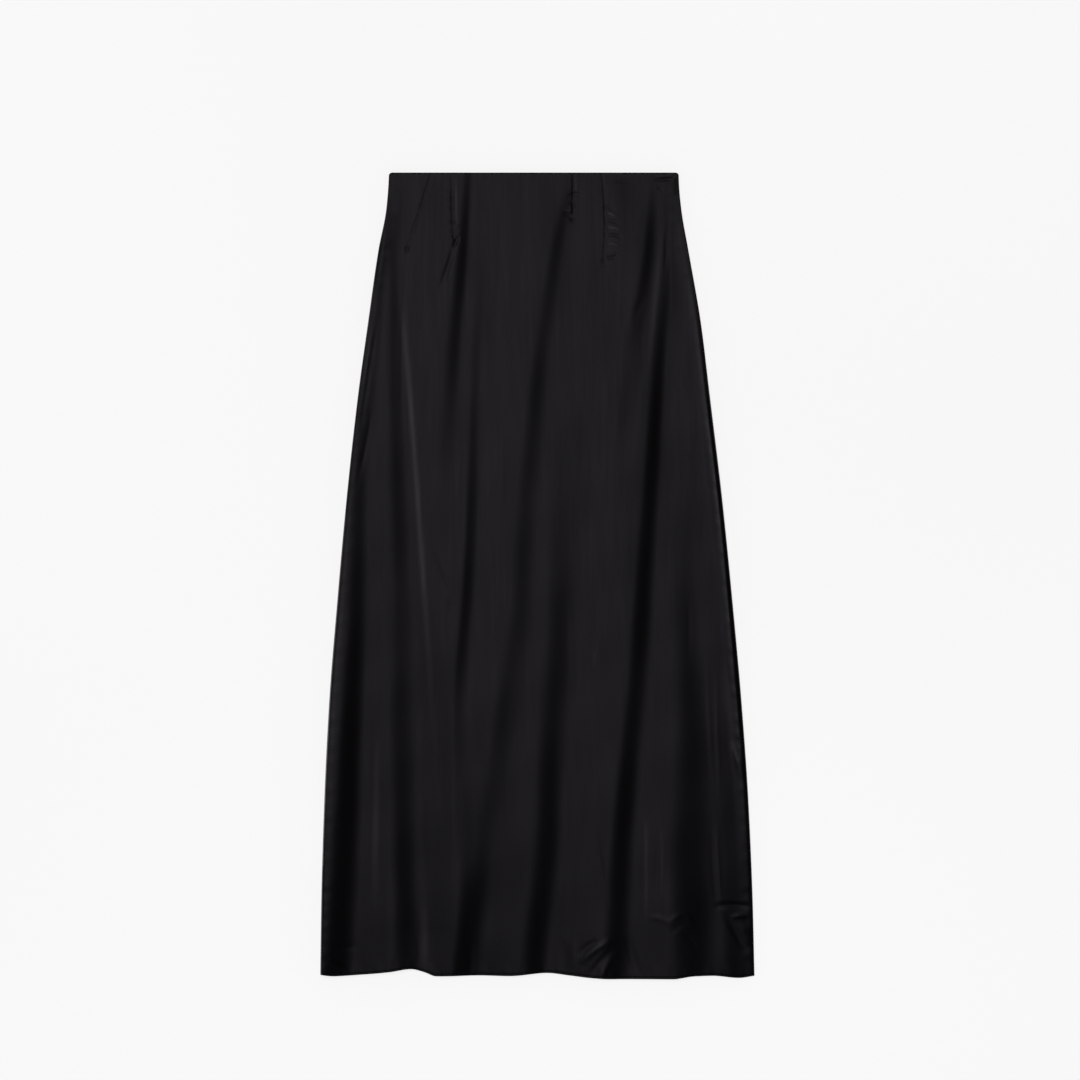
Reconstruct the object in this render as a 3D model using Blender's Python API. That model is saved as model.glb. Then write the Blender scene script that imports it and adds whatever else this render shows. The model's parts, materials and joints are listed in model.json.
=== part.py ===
"""A long satin skirt laid flat, front up, with four front waist darts and a concealed side zip.

World axes: +X is the viewer's right, +Y runs from the hem to the waist, +Z is up.
The origin is the middle of the footprint, on the surface that the skirt lies on.
The panels are described by "across" (mm from the middle line, right is plus) and
"down" (mm below the waist edge), which is how a cutter measures a skirt.
"""

import math
from collections import namedtuple

import bpy
import numpy as np

MM = 0.001

# Driving sizes of the cloth, in mm.
LENGTH = 983.0
WALL = 1.2
SEAM_GAP = 0.3
HEM_TURN = 3.0
HEM_WALL = 1.8
HEM_LIFT_REACH = 150.0
CORNER_RADIUS = 3.5
BACK_TUCK = 2.0

# Driving sizes of the concealed zip, in mm. Its slider lies between the panels at the top of
# the right seam, and the pull tab lies on the front, pointing to the hem.
ZIP_END = 212.0
ZIP_RUN_OUT = 18.0
TAPE_WIDTH = 11.0
TAPE_THICKNESS = 0.8
SLIDER_TOP = 3.5
SLIDER_LENGTH = 9.0
SLIDER_WIDTH = 7.6
SLIDER_HEIGHT = 2.2
BAIL_REACH = 1.6
BAIL_HOLE = 0.9
BAIL_THICKNESS = 1.2
PULL_DOWN = 8.0
PULL_INSET = 4.2
PULL_LENGTH = 19.0
PULL_WIDTH = 5.0
PULL_THICKNESS = 1.2
PULL_TAPER = 0.5
PULL_SLOT_SPARE = 0.8
PULL_CLEARANCE = 0.8
NOTCH_SPARE = 0.5

BACK_TOP = WALL
ZIP_SEAM = SLIDER_HEIGHT + 2 * SEAM_GAP

# The two side seams, by station down from the waist.
Side = namedtuple("Side", "down left right")
SIDES = (
    Side(0, -181.0, 172.2),
    Side(16, -181.8, 172.8),
    Side(46, -184.5, 175.7),
    Side(95, -194.0, 184.2),
    Side(180, -206.2, 198.9),
    Side(278, -219.6, 211.1),
    Side(400, -233.0, 225.7),
    Side(522, -244.0, 237.9),
    Side(644, -253.8, 248.9),
    Side(766, -259.9, 257.4),
    Side(888, -263.5, 262.6),
    Side(983, -264.8, 264.8),
)

# How far the hem edge is drawn up by the folds, across the skirt.
HemLift = namedtuple("HemLift", "across lift")
HEM_LIFTS = (
    HemLift(-265, 5.6),
    HemLift(-248, 3.7),
    HemLift(-206, 6.1),
    HemLift(-181, 8.5),
    HemLift(-154, 12.2),
    HemLift(-138, 8.5),
    HemLift(-123, 3.4),
    HemLift(-70, 4.3),
    HemLift(-35, 3.7),
    HemLift(12, 7.3),
    HemLift(40, 4.3),
    HemLift(67, 1.2),
    HemLift(90, 0.0),
    HemLift(165, 0.0),
    HemLift(190, 3.2),
    HemLift(214, 3.9),
    HemLift(246, 1.2),
    HemLift(265, 3.7),
)

# Height of the front over the back, evened out over its folds, and how soon it rounds up from
# the side seams.
Section = namedtuple("Section", "name down loft roll")
SECTIONS = (
    Section("waist", 0, ZIP_SEAM, 1.6),
    Section("yoke", 100, 3.4, 1.8),
    Section("hip", 220, 4.4, 2.0),
    Section("thigh", 360, 5.4, 2.2),
    Section("knee", 510, 6.4, 2.4),
    Section("shin", 660, 7.6, 2.6),
    Section("calf", 830, 9.0, 2.8),
    Section("ankle", 925, 9.6, 3.0),
    Section("hem", 983, 9.8, 3.0),
)

# Where the steepest line of each fold runs, in mm across at the nine sections. Folds that start or
FOLD_PATHS = {
    "edge_fold": (-172, -187, -199, -216, -221, -228, -237, -241, -248),
    "left_valley": (-162, -176, -176, -171, -167, -167, -164, -162, -162),
    "crease_a": (-84, -91, -102, -113, -120, -122, -124, -128, -134),
    "crease_b": (-65, -70, -76, -80, -87, -98, -96, -98, -102),
    "hem_fold": (-50, -54, -56, -58, -64, -72, -79, -86, -91),
    "crease_c": (44, 22, 5, -11, -21, -41, -60, -66, -68),
    "crease_d": (60, 52, 44, 37, 31, 21, 11, 1, -5),
    "crease_e": (142, 135, 116, 105, 92, 74, 56, 50, 46),
    "crease_f": (153, 158, 149, 139, 129, 117, 100, 96, 92),
    "right_valley": (161, 168, 174, 176, 180, 189, 184, 187, 187),
    "right_hem_fold": (168, 177, 192, 203, 213, 223, 232, 240, 243),
}

# How steep the cloth is on that line, in degrees.
FOLD_SLOPES = {
    "edge_fold": (0, 5, 5, 9, 13, 19, 20, 20, 19),
    "left_valley": (0, 6, 8, 8, 9, 13, 16, 17, 17),
    "crease_a": (6, 12, 9, 4, 0, 0, 0, 0, 0),
    "crease_b": (0, 0, 5, 8, 14, 10, 5, 0, 0),
    "hem_fold": (0, 0, 0, 0, 0, 2, 8, 20, 20),
    "crease_c": (1, 6, 6, 6.5, 7, 9, 7, 2, 0),
    "crease_d": (0, 0, 0, 2, 6, 11, 16, 19, 18),
    "crease_e": (0, 10, 4, 1, 1, 2, 2, 2, 2),
    "crease_f": (0, 2, 11, 14, 14, 14, 18, 18, 16),
    "right_valley": (0, 0, 0, 1, 4, 9, 13, 15, 14),
    "right_hem_fold": (0, 0, 0, 0, 0, 2, 5, 9, 10),
}

# Every fold drops to its right. How far its steep part reaches to its low and its high side, in
# mm, at the waist and at the hem.
Fold = namedtuple("Fold", "waist_low waist_high hem_low hem_high")
FOLDS = {
    "edge_fold": Fold(6, 5, 30, 26),
    "left_valley": Fold(10, 7, 38, 26),
    "crease_a": Fold(6, 8, 40, 45),
    "crease_b": Fold(8, 6, 24, 12),
    "hem_fold": Fold(10, 10, 32, 22),
    "crease_c": Fold(9, 10, 40, 24),
    "crease_d": Fold(22, 22, 27, 27),
    "crease_e": Fold(7, 7, 50, 40),
    "crease_f": Fold(6, 8, 28, 22),
    "right_valley": Fold(5, 5, 42, 38),
    "right_hem_fold": Fold(6, 6, 34, 20),
}

# How far the cloth takes to go back to its even height, on either side of the steep part: this
# many mm, and this share of the steep part's width.
RETURN_LENGTH = 70.0
RETURN_SHARE = 0.9

# The area under the bell (1 - u^2)^2 from its middle to its end. It gives the slope across a fold.
BELL_AREA = 8 / 15

# Each fold has columns at these shares of the reach of its steep part, as long as they are no
# further out than this share of the way to the next fold line.
FOLD_COLUMNS = (0.28, 0.8)
SHOULDER_SHARE = 0.42

# The wide stretch to the right of each of these folds has a plain column in its middle.
PLAIN_COLUMN_AFTER = ("left_valley", "hem_fold", "crease_c", "crease_d", "crease_e", "crease_f")

# How finely the panels are divided.
FINE_ROWS_AT_WAIST = (0.0, 1.0, CORNER_RADIUS, 12.0, 28.0)
FINE_ROWS_AT_HEM = (966.0, 976.0, LENGTH - HEM_TURN, LENGTH)
PLAIN_ROWS = 36
EDGE_COLUMNS = (0.0, 0.3, 1.0)
EDGE_COLUMN_LIMIT = 0.3
BACK_ROWS = 26
BACK_COLUMNS = 22
TAPE_RINGS = 12
COIL_SIDES = 8
ROUND_SIDES = 12

# The wall is measured square to the cloth, down to this upright share of its normal.
STEEPEST = 0.6


def column_of(rows, field):
    """One named column of a table, as an array."""
    return np.array([getattr(row, field) for row in rows], float)


def smooth(stations, values, at):
    """A smooth curve through the given values, which doesn't overshoot between them."""
    stations = np.asarray(stations, float)
    values = np.asarray(values, float)
    at = np.clip(np.asarray(at, float), stations[0], stations[-1])
    steps = np.diff(stations)
    secants = np.diff(values) / steps
    before, after = secants[:-1], secants[1:]
    same_way = before * after > 0
    inner = np.where(same_way, 2 * before * after / np.where(same_way, before + after, 1), 0.0)
    slopes = np.concatenate([secants[:1], inner, secants[-1:]])
    place = np.clip(np.searchsorted(stations, at, side="right") - 1, 0, len(steps) - 1)
    step = steps[place]
    t = (at - stations[place]) / step
    rise = values[place + 1] - values[place]
    bend = slopes[place] * step * t * (1 - t) ** 2 - slopes[place + 1] * step * t**2 * (1 - t)
    return values[place] + rise * t**2 * (3 - 2 * t) + bend


def by_section(values, down):
    return smooth(column_of(SECTIONS, "down"), values, down)


def corner_inset(down):
    """How far the rounded waist corners step in from the side seams."""
    below_corner = np.clip(CORNER_RADIUS - down, 0, CORNER_RADIUS)
    return CORNER_RADIUS - np.sqrt(CORNER_RADIUS**2 - below_corner**2)


def left_seam(down):
    return smooth(column_of(SIDES, "down"), column_of(SIDES, "left"), down) + corner_inset(down)


def right_seam(down):
    return smooth(column_of(SIDES, "down"), column_of(SIDES, "right"), down) - corner_inset(down)


def hem_lift(across):
    return smooth(column_of(HEM_LIFTS, "across"), column_of(HEM_LIFTS, "lift"), across)


def hem_share(down):
    """How much of the hem's lift reaches a row: none above the last stretch, all of it at the edge."""
    return np.clip((down - (LENGTH - HEM_LIFT_REACH)) / HEM_LIFT_REACH, 0, 1)


def fold_widths(name, down):
    """How far the steep part of a fold reaches to its low side and to its high side."""
    fold, share = FOLDS[name], down / LENGTH
    low = fold.waist_low + (fold.hem_low - fold.waist_low) * share
    high = fold.waist_high + (fold.hem_high - fold.waist_high) * share
    return low, high


def bell_to(u):
    """The area under the bell (1 - u^2)^2 from its middle to u, which is at most 1."""
    u = np.clip(u, 0, 1)
    return u - 2 * u**3 / 3 + u**5 / 5


def fading(distance, run):
    """1 at no distance, easing to 0 at the end of the run."""
    t = np.clip(distance / run, 0, 1)
    return 1 - t**2 * (3 - 2 * t)


def fold_offset(name, across, down):
    """Height that one fold adds: the cloth eases down to its low side, climbs steeply and eases back."""
    low, high = fold_widths(name, down)
    uphill = by_section(FOLD_PATHS[name], down) - across
    width = low + high
    climbed = low * (BELL_AREA - bell_to(-uphill / low)) + high * bell_to(uphill / high)
    share = climbed / (BELL_AREA * width) - 0.5
    run = RETURN_LENGTH + RETURN_SHARE * width
    slope = np.tan(np.radians(by_section(FOLD_SLOPES[name], down)))
    return slope * BELL_AREA * width * share * fading(-low - uphill, run) * fading(uphill - high, run)


def right_seam_height(down):
    """The right seam stands open over the zip and closes just below it."""
    closing = np.clip((down - ZIP_END) / ZIP_RUN_OUT, 0, 1)
    closed = closing**2 * (3 - 2 * closing)
    return ZIP_SEAM + (SEAM_GAP - ZIP_SEAM) * closed


def edge_rise(distance, roll):
    """How the cloth rounds up from a side seam, from 0 there to 1 past the roll."""
    t = np.clip(distance / roll, 0, 1)
    return np.sqrt(t * (2 - t))


def front_underside(across, down):
    """Height in mm of the inner face of the front panel."""
    height = by_section(column_of(SECTIONS, "loft"), down) + np.zeros_like(across)
    for name in FOLDS:
        height = height + fold_offset(name, across, down)
    roll = by_section(column_of(SECTIONS, "roll"), down)
    height = height * edge_rise(across - left_seam(down), roll)
    right_height = right_seam_height(down)
    rise = edge_rise(right_seam(down) - across, roll)
    height = right_height + (height - right_height) * rise
    return BACK_TOP + np.maximum(height, SEAM_GAP)


def columns_at(down):
    """Where the front's columns cross one row: both edges, each fold's steep part, and plain ones."""
    left, right = left_seam(down), right_seam(down)
    names = list(FOLD_PATHS)
    lines = np.array([left] + [by_section(FOLD_PATHS[name], down) for name in names] + [right])
    gaps = np.diff(lines)
    roll = by_section(column_of(SECTIONS, "roll"), down)
    columns = [left + share * min(roll, EDGE_COLUMN_LIMIT * gaps[0]) for share in EDGE_COLUMNS]
    for index, name in enumerate(names):
        line = lines[index + 1]
        to_right, to_left = fold_widths(name, down)
        to_left = min(to_left, SHOULDER_SHARE / FOLD_COLUMNS[-1] * gaps[index])
        to_right = min(to_right, SHOULDER_SHARE / FOLD_COLUMNS[-1] * gaps[index + 1])
        start = line - FOLD_COLUMNS[-1] * to_left
        if index and names[index - 1] in PLAIN_COLUMN_AFTER:
            columns.append((columns[-1] + start) / 2)
        columns += [line - share * to_left for share in reversed(FOLD_COLUMNS)]
        columns += [line + share * to_right for share in FOLD_COLUMNS]
    columns += [right - share * min(roll, EDGE_COLUMN_LIMIT * gaps[-1]) for share in reversed(EDGE_COLUMNS)]
    return columns


def front_grid():
    """Rows of (across, down) for the front panel; near the hem they follow its wavy edge."""
    plain = np.linspace(FINE_ROWS_AT_WAIST[-1], FINE_ROWS_AT_HEM[0], PLAIN_ROWS + 2)[1:-1]
    rows = np.concatenate([FINE_ROWS_AT_WAIST, plain, FINE_ROWS_AT_HEM])
    across = np.array([columns_at(row) for row in rows])
    down = np.repeat(rows[:, None], across.shape[1], axis=1)
    return across, down, down - hem_share(down) * hem_lift(across)


def upright_share(x, y, z):
    """The upright part of the surface normal at each point of a grid."""
    along = np.stack([np.gradient(a, axis=0) for a in (x, y, z)], axis=-1)
    over = np.stack([np.gradient(a, axis=1) for a in (x, y, z)], axis=-1)
    normal = np.cross(along, over)
    return np.abs(normal[..., 2]) / np.linalg.norm(normal, axis=-1)


def to_world(across, down, height):
    """Pattern coordinates in mm to world points in metres."""
    return np.stack([across * MM, (LENGTH / 2 - down) * MM, height * MM], axis=-1)


def add_object(name, points, faces, material, location=(0, 0, 0)):
    """A named mesh object in the scene, shaded smooth between sharp edges."""
    mesh = bpy.data.meshes.new(name)
    mesh.from_pydata([tuple(point) for point in points], [], faces)
    mesh.materials.append(material)
    mesh.shade_smooth()
    mesh.set_sharp_from_angle(angle=math.radians(50))
    piece = bpy.data.objects.new(name, mesh)
    piece.location = location
    bpy.context.scene.collection.objects.link(piece)
    return piece


def closed_wall(under, upper):
    """Points and faces of a closed wall between two grids of points with the same layout."""
    rows, columns = under.shape[:2]
    points = np.concatenate([under.reshape(-1, 3), upper.reshape(-1, 3)])
    index = np.arange(rows * columns).reshape(rows, columns)
    top = index + rows * columns
    faces = []
    for r in range(rows - 1):
        for c in range(columns - 1):
            faces.append((index[r, c], index[r, c + 1], index[r + 1, c + 1], index[r + 1, c]))
            faces.append((top[r, c], top[r + 1, c], top[r + 1, c + 1], top[r, c + 1]))
    rim = list(index[0, :]) + list(index[1:, -1]) + list(index[-1, -2::-1]) + list(index[-2:0:-1, 0])
    above = rows * columns
    for here, following in zip(rim, rim[1:] + rim[:1]):
        faces.append((here, here + above, following + above, following))
    return points, [tuple(int(i) for i in face) for face in faces]


def make_front_panel(material):
    """The upper layer: one wall that follows every fold, with a turned hem along its lower edge."""
    across, down, cloth_down = front_grid()
    under = front_underside(across, down)
    share = np.maximum(upright_share(across, -cloth_down, under), STEEPEST)
    turned = np.clip((down - (LENGTH - 2 * HEM_TURN)) / HEM_TURN, 0, 1)
    wall = WALL + (HEM_WALL - WALL) * turned
    points, faces = closed_wall(
        to_world(across, cloth_down, under),
        to_world(across, cloth_down, under + wall / share),
    )
    return add_object("front_panel", points, faces, material)


def make_back_panel(material):
    """The lower layer, which lies flat. Its waist and hem stay just behind the front's."""
    stations = np.linspace(BACK_TUCK, LENGTH, BACK_ROWS)
    shares = np.linspace(0, 1, BACK_COLUMNS)
    left, right = left_seam(stations)[:, None], right_seam(stations)[:, None]
    across = left + (right - left) * shares[None, :]
    down = np.repeat(stations[:, None], len(shares), axis=1)
    cloth_down = down - hem_share(down) * (hem_lift(across) + BACK_TUCK)
    floor = np.zeros_like(across)
    points, faces = closed_wall(
        to_world(across, cloth_down, floor),
        to_world(across, cloth_down, floor + WALL),
    )
    return add_object("back_panel", points, faces, material)


def make_zip_tape(material):
    """The closed zip chain along the right seam: a folded tape with a rounded row of coils outside."""
    stations = np.linspace(SLIDER_TOP + SLIDER_LENGTH + SEAM_GAP, ZIP_END, TAPE_RINGS)
    radius = SLIDER_HEIGHT / 2
    middle = BACK_TOP + SEAM_GAP + radius
    half = TAPE_THICKNESS / 2
    start = math.asin(half / radius)
    turns = np.linspace(math.pi - start, start - math.pi, COIL_SIDES + 1)
    profile = [(-TAPE_WIDTH, -half), (-TAPE_WIDTH, half)]
    profile += [(radius * (math.cos(turn) - 1), radius * math.sin(turn)) for turn in turns]
    rings = []
    for station in stations:
        edge = right_seam(station) - 2 * SEAM_GAP
        rings.append([(edge + across, station, middle + height) for across, height in profile])
    rings = np.array(rings)
    points = to_world(rings[..., 0], rings[..., 1], rings[..., 2]).reshape(-1, 3)
    count = len(profile)
    faces = []
    for ring in range(len(stations) - 1):
        for k in range(count):
            a, b = ring * count + k, ring * count + (k + 1) % count
            faces.append((a, a + count, b + count, b))
    faces.append(tuple(range(count)))
    last = (len(stations) - 1) * count
    faces.append(tuple(last + k for k in reversed(range(count))))
    return add_object("zip_tape", points, faces, material)


def prism(outline, low, high, to_point):
    """Points and faces of an outline, given anticlockwise, pushed from low to high."""
    count = len(outline)
    points = [to_point(a, b, low) for a, b in outline] + [to_point(a, b, high) for a, b in outline]
    faces = [tuple(reversed(range(count))), tuple(range(count, 2 * count))]
    for k in range(count):
        following = (k + 1) % count
        faces.append((k, following, following + count, k + count))
    return points, faces


def circle(radius, sides=ROUND_SIDES):
    """Points of a circle in mm, anticlockwise."""
    turns = [2 * math.pi * k / sides for k in range(sides)]
    return [(radius * math.cos(turn), radius * math.sin(turn)) for turn in turns]


def half_circle(radius, height, start):
    """Points of a half circle in mm, anticlockwise from the start angle, about a point at a height."""
    turns = [start + math.pi * k / ROUND_SIDES for k in range(ROUND_SIDES + 1)]
    return [(radius * math.cos(turn), height + radius * math.sin(turn)) for turn in turns]


def flat_point(a, b, c):
    """Outline in plan, height upwards."""
    return (a * MM, b * MM, c * MM)


def side_point(a, b, c):
    """Outline seen from the right side, thickness across."""
    return (c * MM, a * MM, b * MM)


def combine(target, other, operation):
    """Joins another object into this one, or cuts it away, and hides that other object."""
    other.hide_render = True
    other.display_type = "WIRE"
    other.parent = target.parent
    modifier = target.modifiers.new(f"{operation.lower()}_{other.name}", "BOOLEAN")
    modifier.operation = operation
    modifier.solver = "EXACT"
    modifier.object = other


def pull_hinge():
    """World point of the pull tab's hinge, above the front panel's right corner."""
    across = right_seam(PULL_DOWN) - PULL_INSET
    front_top = BACK_TOP + ZIP_SEAM + WALL
    height = np.float64(front_top + PULL_CLEARANCE + PULL_THICKNESS / 2)
    return tuple(to_world(across, np.float64(PULL_DOWN), height).tolist())


def make_zip_slider(material):
    """The slider between the panels, with the bail that comes up through the seam to hold the pull."""
    hinge = pull_hinge()
    body_low = BACK_TOP + SEAM_GAP - hinge[2] / MM
    body_high = body_low + SLIDER_HEIGHT
    top_edge = PULL_DOWN - SLIDER_TOP
    outer = PULL_INSET - 2 * SEAM_GAP
    inner = outer - SLIDER_WIDTH
    nose = SLIDER_LENGTH - top_edge
    outline = [
        (inner + 1.5, -nose),
        (outer - 0.8, -nose),
        (outer, -nose + 1.2),
        (outer, top_edge - 1.5),
        (outer - 1.5, top_edge),
        (inner + 2.2, top_edge),
        (inner, top_edge - 2.2),
        (inner, -nose + 3.0),
    ]
    points, faces = prism(outline, body_low, body_high, flat_point)
    slider = add_object("zip_slider", points, faces, material, hinge)

    half = BAIL_THICKNESS / 2
    root = body_high - TAPE_THICKNESS / 2
    arch = [(-BAIL_REACH, root), (BAIL_REACH, root)] + half_circle(BAIL_REACH, 0.0, 0.0)
    points, faces = prism(arch, -half, half, side_point)
    bail = add_object("bail_shape", points, faces, material, hinge)
    combine(slider, bail, "UNION")

    points, faces = prism(circle(BAIL_HOLE), -2 * half, 2 * half, side_point)
    hole = add_object("bail_hole_shape", points, faces, material, hinge)
    combine(slider, hole, "DIFFERENCE")
    return slider


def make_zip_pull(material):
    """The pull tab, lying on the cloth and pointing to the hem. Its cross bar turns in the bail."""
    hinge = pull_hinge()
    half_width = PULL_WIDTH / 2
    top_half_width = half_width - PULL_TAPER
    neck = BAIL_THICKNESS / 2 + SEAM_GAP
    slot = BAIL_REACH + PULL_SLOT_SPARE
    thickness = PULL_THICKNESS / 2
    outline = [(-neck, 0.0), (-top_half_width, 0.0)]
    outline += half_circle(half_width, half_width - PULL_LENGTH, math.pi)
    outline += [(top_half_width, 0.0), (neck, 0.0), (neck, -slot), (-neck, -slot)]
    points, faces = prism(outline, -thickness, thickness, flat_point)
    pull = add_object("zip_pull", points, faces, material, hinge)

    points, faces = prism(circle(thickness), -top_half_width, top_half_width, side_point)
    bar = add_object("cross_bar_shape", points, faces, material, hinge)
    combine(pull, bar, "UNION")
    return pull


def open_seam_for_bail(front, material):
    """A small notch in the front's right edge, where the seam parts around the bail."""
    hinge = pull_hinge()
    wide = BAIL_REACH + NOTCH_SPARE
    inner = -BAIL_THICKNESS / 2 - NOTCH_SPARE
    outer = PULL_INSET + BAIL_REACH
    outline = [(inner, -wide), (outer, -wide), (outer, wide), (inner, wide)]
    points, faces = prism(outline, -ZIP_SEAM - WALL, WALL, flat_point)
    notch = add_object("seam_notch_shape", points, faces, material, hinge)
    combine(front, notch, "DIFFERENCE")


def make_material(name, colour, roughness, metallic):
    material = bpy.data.materials.new(name)
    material.use_nodes = True
    shader = material.node_tree.nodes["Principled BSDF"]
    shader.inputs["Base Color"].default_value = (*colour, 1.0)
    shader.inputs["Roughness"].default_value = roughness
    shader.inputs["Metallic"].default_value = metallic
    return material


def clear_scene():
    for existing in list(bpy.data.objects):
        bpy.data.objects.remove(existing, do_unlink=True)


def main():
    clear_scene()
    satin = make_material("black_satin", (0.011, 0.010, 0.012), 0.42, 0.0)
    tape_cloth = make_material("black_tape", (0.012, 0.012, 0.012), 0.8, 0.0)
    enamel = make_material("black_enamel", (0.015, 0.014, 0.015), 0.35, 0.6)

    front = make_front_panel(satin)
    open_seam_for_bail(front, satin)
    pieces = [
        front,
        make_back_panel(satin),
        make_zip_tape(tape_cloth),
        make_zip_slider(enamel),
        make_zip_pull(enamel),
    ]
    skirt = bpy.data.objects.new("skirt", None)
    bpy.context.scene.collection.objects.link(skirt)
    for piece in pieces:
        piece.parent = skirt


main()
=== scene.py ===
"""Looks for the long satin skirt laid flat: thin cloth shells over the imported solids, its darts,
creases and hem stitches, its concealed zip, and a plain pale studio.

The cloth is described as in the part's source: "across" is mm from the middle line (right is
plus), "down" is mm below the waist edge, and heights are mm above the floor.
"""

import json
import math
from collections import namedtuple

import bpy
import numpy as np
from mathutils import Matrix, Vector

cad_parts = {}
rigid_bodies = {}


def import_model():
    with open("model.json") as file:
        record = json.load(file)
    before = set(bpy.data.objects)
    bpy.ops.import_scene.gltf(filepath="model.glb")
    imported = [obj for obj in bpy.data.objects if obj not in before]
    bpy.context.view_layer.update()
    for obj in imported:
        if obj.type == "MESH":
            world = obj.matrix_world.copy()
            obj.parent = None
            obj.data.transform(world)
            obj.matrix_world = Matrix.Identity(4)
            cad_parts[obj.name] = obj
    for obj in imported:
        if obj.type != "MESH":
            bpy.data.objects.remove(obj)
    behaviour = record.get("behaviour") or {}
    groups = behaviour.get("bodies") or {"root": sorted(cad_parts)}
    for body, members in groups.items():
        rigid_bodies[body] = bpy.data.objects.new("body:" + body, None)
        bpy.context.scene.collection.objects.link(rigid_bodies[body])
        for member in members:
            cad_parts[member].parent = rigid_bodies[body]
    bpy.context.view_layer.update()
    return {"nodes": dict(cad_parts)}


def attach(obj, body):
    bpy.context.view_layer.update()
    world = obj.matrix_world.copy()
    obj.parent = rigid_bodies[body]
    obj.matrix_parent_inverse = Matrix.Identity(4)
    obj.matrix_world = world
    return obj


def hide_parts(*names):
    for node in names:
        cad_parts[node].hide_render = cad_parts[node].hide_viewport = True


MM = 0.001

# Sizes shared with the solids, in mm.
LENGTH = 983.0
WALL = 1.2
SEAM_GAP = 0.3
HEM_LIFT_REACH = 150.0
CORNER_RADIUS = 3.5
BACK_TUCK = 2.0
TUCK_FADE = 14.0
ZIP_END = 212.0
ZIP_RUN_OUT = 18.0
TAPE_WIDTH = 11.0
SLIDER_TOP = 3.5
SLIDER_LENGTH = 9.0
SLIDER_HEIGHT = 2.2
BACK_TOP = WALL
ZIP_SEAM = SLIDER_HEIGHT + 2 * SEAM_GAP

# The satin itself, in mm: the shells are thinner than the walls of the solids.
SATIN = 0.7
HEM_SATIN = 1.3
HEM_TURN = 3.2
HEM_STEP = 1.0
SEAM_ALLOWANCE = 7.0
EDGE_ROUND = 0.9
LEAST_CLOTH = 0.2
BACK_LEAST_CLOTH = 0.4

# How much roughness full polish takes off the satin.
SATIN_POLISH = 0.12

# The least upright share of the surface normal that the cloth's thickness is worked out with.
STEEPEST = 0.6

# Sewing, in mm.
HEM_STITCH_UP = 2.3
STITCH_LENGTH = 2.5
STITCH_SPACE = 0.6
STITCH_MARGIN = 4.0
THREAD_RADIUS = 0.16
GROOVE_REACH = 0.9
GROOVE_DEPTH = 0.25
BACK_GROOVE_DEPTH = 0.4
BACK_THREAD_SPARE = 0.04

# One stitch, at shares of its length: how far its thread runs over the cloth, in mm. On the back
# it rises by this share of that.
STITCH_SHARES = np.array([0.0, 0.2, 0.5, 0.8, 1.0])
STITCH_RISES = np.array([-0.16, 0.05, 0.09, 0.05, -0.16])
BACK_STITCH_SHARE = 0.8

# The two side seams, by station down from the waist.
Side = namedtuple("Side", "down left right")
SIDES = (
    Side(0, -181.0, 172.2),
    Side(16, -181.8, 172.8),
    Side(46, -184.5, 175.7),
    Side(95, -194.0, 184.2),
    Side(180, -206.2, 198.9),
    Side(278, -219.6, 211.1),
    Side(400, -233.0, 225.7),
    Side(522, -244.0, 237.9),
    Side(644, -253.8, 248.9),
    Side(766, -259.9, 257.4),
    Side(888, -263.5, 262.6),
    Side(983, -264.8, 264.8),
)

# How far the hem edge is drawn up by the folds, across the skirt, in mm.
HemLift = namedtuple("HemLift", "across lift")
HEM_LIFTS = (
    HemLift(-265, 5.6),
    HemLift(-248, 3.7),
    HemLift(-206, 6.1),
    HemLift(-181, 8.5),
    HemLift(-154, 12.2),
    HemLift(-138, 8.5),
    HemLift(-123, 3.4),
    HemLift(-70, 4.3),
    HemLift(-35, 3.7),
    HemLift(12, 7.3),
    HemLift(40, 4.3),
    HemLift(67, 1.2),
    HemLift(90, 0.0),
    HemLift(165, 0.0),
    HemLift(190, 3.2),
    HemLift(214, 3.9),
    HemLift(246, 1.2),
    HemLift(265, 3.7),
)

# Height of the front over the back, evened out over its folds, and how soon it rounds up from
# the side seams, in mm.
Section = namedtuple("Section", "name down loft roll")
SECTIONS = (
    Section("waist", 0, ZIP_SEAM, 1.6),
    Section("yoke", 100, 3.4, 1.8),
    Section("hip", 220, 4.4, 2.0),
    Section("thigh", 360, 5.4, 2.2),
    Section("knee", 510, 6.4, 2.4),
    Section("shin", 660, 7.6, 2.6),
    Section("calf", 830, 9.0, 2.8),
    Section("ankle", 925, 9.6, 3.0),
    Section("hem", 983, 9.8, 3.0),
)

# Where the steepest line of each fold runs, in mm across at the nine sections.
FOLD_PATHS = {
    "edge_fold": (-172, -187, -199, -216, -221, -228, -237, -241, -248),
    "left_valley": (-162, -176, -176, -171, -167, -167, -164, -162, -162),
    "crease_a": (-84, -91, -102, -113, -120, -122, -124, -128, -134),
    "crease_b": (-65, -70, -76, -80, -87, -98, -96, -98, -102),
    "hem_fold": (-50, -54, -56, -58, -64, -72, -79, -86, -91),
    "crease_c": (44, 22, 5, -11, -21, -41, -60, -66, -68),
    "crease_d": (60, 52, 44, 37, 31, 21, 11, 1, -5),
    "crease_e": (142, 135, 116, 105, 92, 74, 56, 50, 46),
    "crease_f": (153, 158, 149, 139, 129, 117, 100, 96, 92),
    "right_valley": (161, 168, 174, 176, 180, 189, 184, 187, 187),
    "right_hem_fold": (168, 177, 192, 203, 213, 223, 232, 240, 243),
}

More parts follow.
